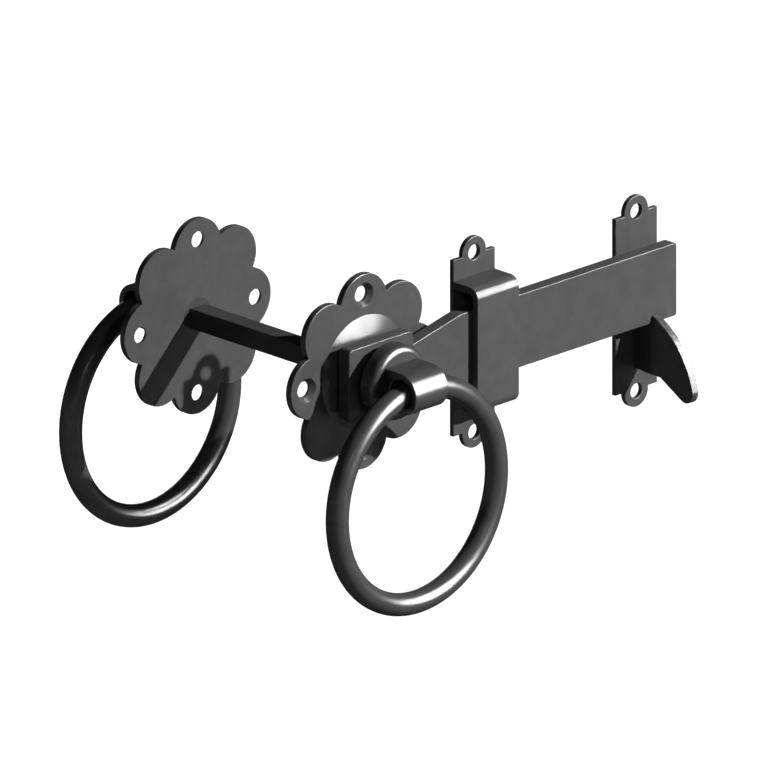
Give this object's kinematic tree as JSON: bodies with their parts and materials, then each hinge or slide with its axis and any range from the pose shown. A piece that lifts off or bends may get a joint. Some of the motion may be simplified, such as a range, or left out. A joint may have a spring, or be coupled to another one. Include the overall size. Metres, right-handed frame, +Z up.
{
  "type": "ring gate latch",
  "caption": "Black steel ring gate latch: ring handles on scalloped roses turn a square spindle that lifts a flat latch bar through a guide staple and out of a hooked catch.",
  "frame": {"origin": "on the spindle's axis, where the back of the front rose meets the face of the gate", "axes": "+X along the latch bar towards the catch, +Y into the gate along the spindle, +Z up"},
  "size_m": [0.1937, 0.1503, 0.1216],
  "materials": {
    "black_plate": "satin black coating",
    "black_forged": "satin black coating",
    "dark_screw": "black oxide"
  },
  "bodies": {
    "plates": {"front_rose": "black_plate", "rear_rose": "black_plate", "guide_plate": "black_plate", "guide_staple": "black_forged", "catch_plate": "black_plate", "catch_hook": "black_forged"},
    "handle": {"latch_bar": "black_forged", "spindle": "black_forged", "front_boss": "black_forged", "rear_boss": "black_forged", "rear_grub_screw": "dark_screw"},
    "front_ring": {"front_ring": "black_forged"},
    "rear_ring": {"rear_ring": "black_forged"}
  },
  "joints": [
    {"name": "latch_turn", "type": "hinge", "parent": "plates", "child": "handle", "pos_m": [0, 0, 0], "axis": [0, -1, 0], "range_deg": [0, 4.3]},
    {"name": "front_ring_swing", "type": "hinge", "parent": "handle", "child": "front_ring", "pos_m": [0, -0.0293, 0], "axis": [-1, 0, 0], "range_deg": [-16, 196]},
    {"name": "rear_ring_swing", "type": "hinge", "parent": "handle", "child": "rear_ring", "pos_m": [0, 0.1054, 0], "axis": [1, 0, 0], "range_deg": [-12, 192]}
  ]
}
